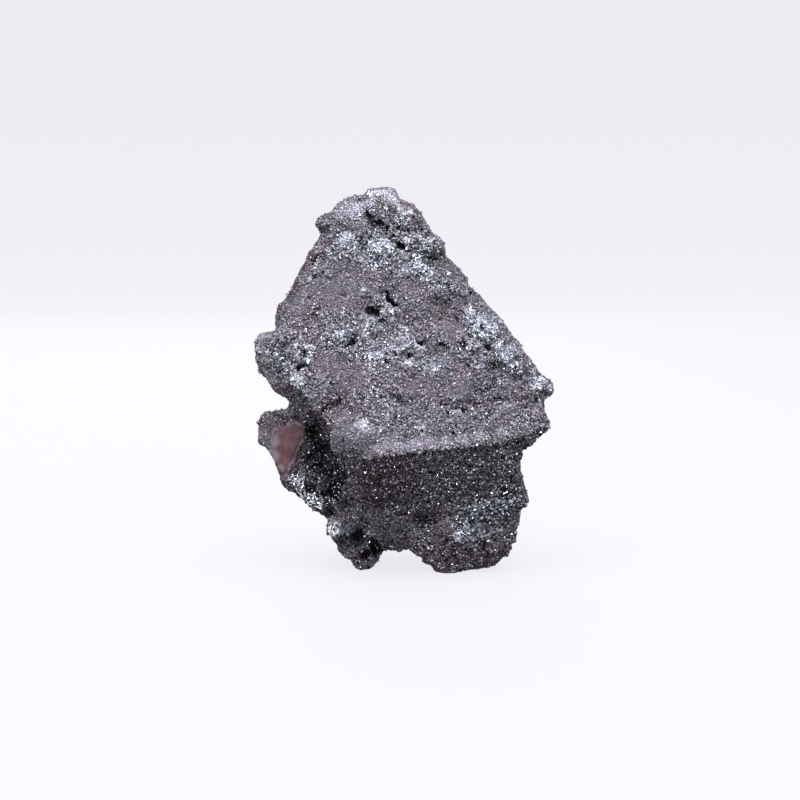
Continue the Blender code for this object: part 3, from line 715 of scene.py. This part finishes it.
def hematite_druse():
    """Specular hematite, grown as a druse of tiny crystals: steel grey mirrors a tenth of a millimetre wide,
    which glint one by one. Powder dulls most of them to a purple grey. The gaps between them are almost
    black, with shade painted at each crystal's foot and in the hollows. A few cells are painted near white as
    glints, and pale crust is partly painted light."""
    material = new_material("hematite_druse")
    tree = material.node_tree
    names = ("silver", "dust", "pale", "mauve", "hollow", "rust", "tip", "luck", "tone")
    silver, dust, pale, mauve, hollow, rust, tip, luck, tone = (
        add(tree, "Attribute", attribute_name=name).outputs["Fac"] for name in names
    )
    number, normal = tiny_facets(tree, 0.5)
    luck = add(tree, "Math", {0: number, 1: 0.3, 2: luck}, operation="MULTIPLY_ADD")
    luck = add(tree, "Math", {0: luck, 1: 0.15}, operation="SUBTRACT")
    # A crystal whose luck is over the limit is clean. Dust raises the limit and silver lowers it.
    limit = add(tree, "Math", {0: dust, 1: 0.12, 2: 0.80}, operation="MULTIPLY_ADD")
    limit = add(tree, "Math", {0: silver, 1: -0.32, 2: limit}, operation="MULTIPLY_ADD")
    under = add(tree, "Math", {0: limit, 1: luck}, operation="SUBTRACT")
    film = add(tree, "Math", {0: under, 1: 2.0}, operation="MULTIPLY", use_clamp=True)
    steel = add(tree, "Mix", {0: silver, 6: "#8a898f", 7: "#a0a5b0"}, data_type="RGBA")
    brown = add(tree, "Math", {0: rust, 1: 0.6}, operation="MULTIPLY")
    steel = add(tree, "Mix", {0: brown, 6: steel, 7: "#766a70"}, data_type="RGBA")
    powder = add(tree, "Mix", {0: mauve, 6: "#787681", 7: "#82727e"}, data_type="RGBA")
    blue = add(tree, "Math", {0: silver, 1: 0.8}, operation="MULTIPLY")
    # Powder tints; the pale one is partly painted light and painted highlight.
    for share, tint in ((blue, "#8e97a3"), (rust, "#66565e"), (pale, "#d4d6e0")):
        powder = add(tree, "Mix", {0: share, 6: powder, 7: tint}, data_type="RGBA")
    colour = add(tree, "Mix", {0: film, 6: steel, 7: powder}, data_type="RGBA")
    # Painted shade: dark at the foot and light at the tip, with a random tone unlike its neighbours. The
    # hollows are painted almost black, and a few painted glints stay bright in them.
    shade = add(tree, "Math", {0: tip, 1: 0.5, 2: 0.15}, operation="MULTIPLY_ADD")
    shade = add(tree, "Math", {0: tone, 1: 0.4, 2: shade}, operation="MULTIPLY_ADD", use_clamp=True)
    # Pale crust is lifted out of the painted foot shade: painted light.
    shade = add(tree, "Math", {0: pale, 1: 0.5, 2: shade}, operation="MULTIPLY_ADD", use_clamp=True)
    grain = add(tree, "Math", {0: number, 1: 0.9, 2: 0.6}, operation="MULTIPLY_ADD")
    shade = add(tree, "Math", {0: shade, 1: grain}, operation="MULTIPLY", use_clamp=True)
    # Painted glints: a few cells, more of them in the hollows, are painted near white.
    rare = add(tree, "Math", {0: hollow, 1: -0.03, 2: 0.93}, operation="MULTIPLY_ADD")
    painted_glint = add(tree, "Math", {0: number, 1: rare}, operation="GREATER_THAN")
    dark = add(tree, "Math", {0: 1.0, 1: painted_glint}, operation="SUBTRACT")
    dark = add(tree, "Math", {0: dark, 1: hollow}, operation="MULTIPLY")
    open_to_light = add(tree, "Math", {0: dark, 1: -0.96, 2: 1.0}, operation="MULTIPLY_ADD")
    shade = add(tree, "Math", {0: shade, 1: open_to_light}, operation="MULTIPLY")
    colour = add(tree, "Mix", {0: shade, 6: "#08070a", 7: colour}, data_type="RGBA")
    painted_glint_share = add(tree, "Math", {0: hollow, 1: 2.0, 2: 0.3}, operation="MULTIPLY_ADD", use_clamp=True)
    painted_glint_share = add(tree, "Math", {0: painted_glint_share, 1: painted_glint}, operation="MULTIPLY")
    colour = add(tree, "Mix", {0: painted_glint_share, 6: colour, 7: "#dcdfe6"}, data_type="RGBA")
    metallic = add(tree, "Math", {0: film, 1: -0.75, 2: 1.0}, operation="MULTIPLY_ADD")
    # The hollows turn fully metallic, so the painted shade darkens their gloss too.
    metallic = add(tree, "Math", {0: metallic, 1: hollow}, operation="MAXIMUM")
    roughness = add(tree, "Math", {0: film, 1: 0.35, 2: 0.2}, operation="MULTIPLY_ADD")
    surface = add(
        tree,
        "BsdfPrincipled",
        {"Base Color": colour, "Metallic": metallic, "Roughness": roughness, "Normal": normal},
    )
    add(tree, "OutputMaterial", {"Surface": surface})
    return material


def hematite_ground():
    """The solid hematite under the druse: dark, with the same powder on it, and its hollows painted almost
    black as shade. The wing's octahedron face is bare, smooth and a dull brown with a mauve cast, like
    unpolished slate.
    The crystal over the foot is bare too, in blue grey, with white streaks of painted highlight."""
    material = new_material("hematite_ground")
    tree = material.node_tree
    names = ("silver", "dust", "pale", "mauve", "hollow", "rust", "flat_face", "foot_block")
    silver, dust, pale, mauve, hollow, rust, flat, block = (
        add(tree, "Attribute", attribute_name=name).outputs["Fac"] for name in names
    )
    steel = add(tree, "Mix", {0: silver, 6: "#3d3c42", 7: "#595c65"}, data_type="RGBA")
    powder = add(tree, "Mix", {0: mauve, 6: "#5c5b64", 7: "#645660"}, data_type="RGBA")
    # The pale tint is partly painted light and painted highlight.
    for share, tint in ((rust, "#40353b"), (pale, "#9b97a6")):
        powder = add(tree, "Mix", {0: share, 6: powder, 7: tint}, data_type="RGBA")
    colour = add(tree, "Mix", {0: dust, 6: steel, 7: powder}, data_type="RGBA")
    crusted = add(tree, "Math", {0: 1.0, 1: flat}, operation="SUBTRACT")
    tilt = add(tree, "Math", {0: block, 1: -0.3, 2: 0.6}, operation="MULTIPLY_ADD")
    tilt = add(tree, "Math", {0: crusted, 1: tilt}, operation="MULTIPLY")
    number, normal = tiny_facets(tree, tilt)
    # A random tone for each tiny facet, darker or lighter.
    shade = add(tree, "Math", {0: number, 1: 0.8}, operation="MULTIPLY")
    colour = add(tree, "Mix", {0: shade, 6: colour, 7: "#16151a"}, data_type="RGBA")
    # The bare crystal over the foot: blue grey with streaks 0.2 mm wide, and a painted highlight in white
    # streaks where the pale share is high.
    place = add(tree, "TexCoord").outputs["Object"]
    drawn = add(tree, "VectorMath", {0: place, 1: (1.0, 1.0, 0.4)}, operation="MULTIPLY")
    streak = add(tree, "TexNoise", {"Vector": drawn, "Scale": 5500.0, "Detail": 1.0}).outputs["Fac"]
    cloudy = add(tree, "MapRange", {0: streak, 1: 0.44, 2: 0.56})
    blue = add(tree, "Mix", {0: cloudy, 6: "#1d1f24", 7: "#50545d"}, data_type="RGBA")
    # Painted highlight: white streaks where the pale share is high.
    white = add(tree, "Math", {0: cloudy, 1: pale}, operation="MULTIPLY")
    white = add(tree, "Math", {0: white, 1: 1.1}, operation="MULTIPLY", use_clamp=True)
    blue = add(tree, "Mix", {0: white, 6: blue, 7: "#e4e7ee"}, data_type="RGBA")
    colour = add(tree, "Mix", {0: block, 6: colour, 7: blue}, data_type="RGBA")
    # Painted shade: the hollows turn almost black.
    dark = add(tree, "Math", {0: hollow, 1: 0.9}, operation="MULTIPLY")
    colour = add(tree, "Mix", {0: dark, 6: colour, 7: "#070609"}, data_type="RGBA")
    # The bare face: a mottle 1.5 mm wide with a 0.2 mm grain over it.
    mottle = add(tree, "TexNoise", {"Vector": place, "Scale": 650.0, "Detail": 3.0}).outputs["Fac"]
    grain = add(tree, "TexNoise", {"Vector": place, "Scale": 5000.0, "Detail": 2.0}).outputs["Fac"]
    both = add(tree, "Math", {0: grain, 1: 0.5, 2: mottle}, operation="MULTIPLY_ADD")
    both = add(tree, "MapRange", {0: both, 1: 0.55, 2: 0.95}, interpolation_type="SMOOTHSTEP")
    bare = add(tree, "Mix", {0: both, 6: "#3f2a2f", 7: "#5e4045"}, data_type="RGBA")
    film = add(tree, "Math", {0: pale, 1: 0.8}, operation="MULTIPLY")
    bare = add(tree, "Mix", {0: film, 6: bare, 7: "#a097a4"}, data_type="RGBA")
    colour = add(tree, "Mix", {0: flat, 6: colour, 7: bare}, data_type="RGBA")
    metallic = add(tree, "Math", {0: dust, 1: -0.6, 2: 0.9}, operation="MULTIPLY_ADD")
    # The hollows turn fully metallic, so the painted shade darkens their gloss too.
    metallic = add(tree, "Math", {0: metallic, 1: hollow}, operation="MAXIMUM")
    metallic = add(tree, "Math", {0: metallic, 1: crusted}, operation="MULTIPLY")
    roughness = add(tree, "Math", {0: dust, 1: 0.3, 2: 0.35}, operation="MULTIPLY_ADD")
    roughness = add(tree, "Math", {0: flat, 1: 0.25, 2: roughness}, operation="MULTIPLY_ADD")
    surface = add(
        tree,
        "BsdfPrincipled",
        {
            "Base Color": colour,
            "Metallic": metallic,
            "Roughness": roughness,
            "Specular IOR Level": 0.3,
            "Normal": normal,
        },
    )
    add(tree, "OutputMaterial", {"Surface": surface})
    return material


# -------- the stone


def as_piece(name, mesh, material):
    """Makes a mesh in millimetres a piece of the stone."""
    mesh.transform(Matrix.Scale(MM, 4))
    mesh.materials.clear()
    mesh.materials.append(material)
    piece = linked(bpy.data.objects.new(name, mesh))
    mesh.name = name
    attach(piece, "root")
    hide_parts("pseudomorph")
    return piece


def large_crystals(surface):
    """Where the listed crystals sit on the skin, which way they face, and half their width."""
    spots_on, facing = [], []
    for x, z, _ in LARGE_CRYSTALS:
        place, normal, _, _ = surface.ray_cast(Vector((x, AHEAD, z)), Vector((0.0, 1.0, 0.0)))
        spots_on.append(place)
        facing.append((normal + Vector((-0.1, 0.0, 0.4))).normalized())
    return np.array(spots_on), np.array(facing), np.array([width for _, _, width in LARGE_CRYSTALS])


def make_stone():
    """The skin, and the crystals on it in one piece for each region."""
    skin = skin_mesh()
    middles, normals = face_middles(skin)
    places, leans = coordinates(skin), vertex_normals(skin)
    paint(skin, "flat_face", flat_face_share(places, leans, -0.45, 0.35))
    paint(skin, "foot_block", foot_block_share(places, leans))
    for kind, values in crust_at(places, leans).items():
        paint(skin, kind, values)
    surface = BVHTree.FromPolygons(places.tolist(), [face.vertices[:] for face in skin.polygons])
    as_piece("stone_skin", skin, hematite_ground())

    # One common crystal to a face, fewer and larger at the back, and finer grit between those of the front.
    dice = np.random.default_rng(7)
    front = normals[:, 1] < FRONT_LIMIT
    common = np.flatnonzero(front | (dice.uniform(size=len(middles)) < BACK_SHARE))
    grit = np.flatnonzero(front & (dice.uniform(size=len(middles)) < GRIT_SHARE))
    picked = np.concatenate([common, grit])
    finer = np.arange(len(picked)) >= len(common)
    places, normals = middles[picked], normals[picked]
    bare = np.maximum(1.4 * flat_face_share(places, normals), 0.93 * foot_block_share(places, normals))
    crusted = (dice.uniform(size=len(places)) > bare) & (places[:, 2] > 0.05)
    places, normals, finer = places[crusted], normals[crusted], finer[crusted]
    spot, facing, width = large_crystals(surface)
    places, normals = np.concatenate([spot, places]), np.concatenate([facing, normals])
    finer = np.concatenate([np.zeros(len(spot), dtype=bool), finer])

    crust = crust_at(places, normals)
    coarse = crust.pop("coarse")
    flakes = spots(places, FLAKES, salt=66)
    sizes = CRYSTAL_SIZE * np.clip(np.exp(0.38 * dice.normal(size=len(places))), 0.45, 2.0)
    sizes *= (1.0 + 0.5 * coarse - 0.25 * crust["dust"]) * (1.0 + 0.2 * clouds(places, 3.0, 67))
    sizes *= np.where(finer, GRIT_SIZE, 1.0) * np.where(normals[:, 1] < FRONT_LIMIT, 1.0, BACK_SIZE)
    sizes *= 1.0 - 0.65 * flat_face_share(places, normals, -1.2, 0.1)
    sizes *= 1.0 - 0.4 * crest_share(normals)
    calm = np.maximum(crust["dust"], crest_share(normals))
    plates = ~finer & (dice.uniform(size=len(places)) < np.maximum(0.15 * crust["silver"], 0.55 * flakes))
    sizes[plates] *= 1.7 + 0.5 * flakes[plates]
    sizes = np.minimum(sizes, LARGEST_CRYSTAL)
    # Flakes that grew together share one direction.
    normals = normals + (0.7 * flakes)[:, None] * (np.array(FLAKE_WAY) - normals)
    normals /= np.linalg.norm(normals, axis=1)[:, None]
    sizes[: len(spot)], plates[: len(spot)] = width, True
    upper, high = places[:, 2] > DISPLAY_FROM, places[:, 2] > CROWN_FROM
    front, left = normals[:, 1] < 0.0, places[:, 0] < 0.0
    regions = {
        "druse_crown": high,
        "druse_display_left": upper & ~high & front & left,
        "druse_display_right": upper & ~high & front & ~left,
        "druse_back": upper & ~high & ~front,
        "druse_lower_left": ~upper & front & left,
        "druse_lower_right": ~upper & front & ~left,
        "druse_lower_back": ~upper & ~front,
    }
    druse = hematite_druse()
    for name, chosen in regions.items():
        here = {kind: values[chosen] for kind, values in crust.items()}
        mesh = crystal_mesh(
            name, places[chosen], normals[chosen], sizes[chosen], plates[chosen], calm[chosen], here, dice
        )
        as_piece(name, mesh, druse)


# -------- floor, light, camera


def aimed(obj, place, target):
    obj.location = Vector(place) * MM
    way = (Vector(target) - Vector(place)).normalized()
    obj.rotation_euler = way.to_track_quat("-Z", "Y").to_euler()
    return obj


def lamp(name, place, sides, brightness, colour):
    """A lit panel of that brightness, where 1 shows as white."""
    light = bpy.data.lights.new(name, "AREA")
    light.shape = "RECTANGLE"
    light.size, light.size_y = (side * MM for side in sides)
    light.energy = brightness * math.pi * light.size * light.size_y
    light.color = linear(colour)[:3]
    panel = aimed(linked(bpy.data.objects.new(name, light)), place, (0.0, 0.0, 18.0))
    panel.visible_camera = False


def pale_sweep():
    """A pale floor that curves up into a wall behind the stone."""
    bend, radius, steps, side = 500.0, 400.0, 24, 2500.0
    profile = [(-1500.0, 0.0), (bend, 0.0)]
    for step in range(1, steps + 1):
        angle = step / steps * math.pi / 2
        profile.append((bend + radius * math.sin(angle), radius - radius * math.cos(angle)))
    profile.append((bend + radius, 1500.0))
    points = [(x * MM, y * MM, z * MM) for y, z in profile for x in (-side, side)]
    faces = [(i, i + 1, i + 3, i + 2) for i in range(0, len(points) - 2, 2)]
    mesh = bpy.data.meshes.new("pale_sweep")
    mesh.from_pydata(points, [], faces)
    for face in mesh.polygons:
        face.use_smooth = True
    # Matt white paper in full light: one pale tone with no gloss, and hardly a shadow on it.
    material = new_material("white_paper")
    surface = add(
        material.node_tree,
        "BsdfPrincipled",
        {
            "Base Color": "#3c3b3d",
            "Roughness": 0.9,
            "Emission Color": "#f0eef3",
            "Emission Strength": 0.90,
        },
    )
    add(material.node_tree, "OutputMaterial", {"Surface": surface})
    mesh.materials.append(material)
    sweep = linked(bpy.data.objects.new("pale_sweep", mesh))
    sweep.visible_glossy = False
    sweep.visible_diffuse = False


# Small bare bulbs wake the glints of single crystals and give hardly any light of their own.
BULBS = (
    (-180.0, -290.0, 190.0), (130.0, -310.0, 150.0), (-60.0, -340.0, 60.0), (230.0, -240.0, 60.0),
    (-270.0, -210.0, 40.0), (40.0, -345.0, 20.0),
)


def studio_light():
    """A room that is dark below and pale above, with four softboxes and the bulbs."""
    world = bpy.data.worlds.new("studio")
    bpy.context.scene.world = world
    world.use_nodes = True
    tree = world.node_tree
    tree.nodes.clear()
    way = add(tree, "TexCoord").outputs["Generated"]
    height = add(tree, "SeparateXYZ", {"Vector": way}).outputs["Z"]
    share = add(tree, "Math", {0: height, 1: 0.5, 2: 0.5}, operation="MULTIPLY_ADD")
    ramp = add(tree, "ValToRGB", {"Fac": share})
    stops = ((0.0, "#2c2b2f"), (0.45, "#3c3b40"), (0.55, "#8a8b90"), (1.0, "#e6e7ee"))
    while len(ramp.color_ramp.elements) < len(stops):
        ramp.color_ramp.elements.new(0.5)
    for element, (place, colour) in zip(ramp.color_ramp.elements, stops):
        element.position = place
        element.color = linear(colour)
    background = add(tree, "Background", {"Color": ramp.outputs["Color"], "Strength": 1.8})
    add(tree, "OutputWorld", {"Surface": background})
    lamp("top_softbox", (-30.0, -100.0, 330.0), (320.0, 240.0), 5.65, "#f4f6ff")
    lamp("right_softbox", (330.0, 40.0, 160.0), (220.0, 260.0), 2.4, "#eef3ff")
    lamp("left_softbox", (-290.0, -180.0, 130.0), (200.0, 200.0), 1.8, "#fff6f4")
    lamp("back_softbox", (-60.0, 330.0, 150.0), (240.0, 200.0), 2.2, "#f4f6ff")
    for number, place in enumerate(BULBS):
        lamp(f"bulb_{number}", place, (30.0, 30.0), 60.0, "#ffffff")


CAMERA_AIM = (-0.43, 0.0, 15.6)
CAMERA_AWAY = 211.0
CAMERA_RAISED = math.radians(6.0)


def camera():
    lens = bpy.data.cameras.new("camera")
    lens.lens = 100.0
    lens.sensor_width = 36.0
    lens.clip_start = 0.01
    lens.clip_end = 20.0
    eye = linked(bpy.data.objects.new("camera", lens))
    target = Vector(CAMERA_AIM)
    way = Vector((0.0, -math.cos(CAMERA_RAISED), math.sin(CAMERA_RAISED)))
    aimed(eye, target + CAMERA_AWAY * way, target)
    bpy.context.scene.camera = eye


make_stone()
pale_sweep()
studio_light()
camera()
bpy.context.scene.view_settings.view_transform = "Standard"
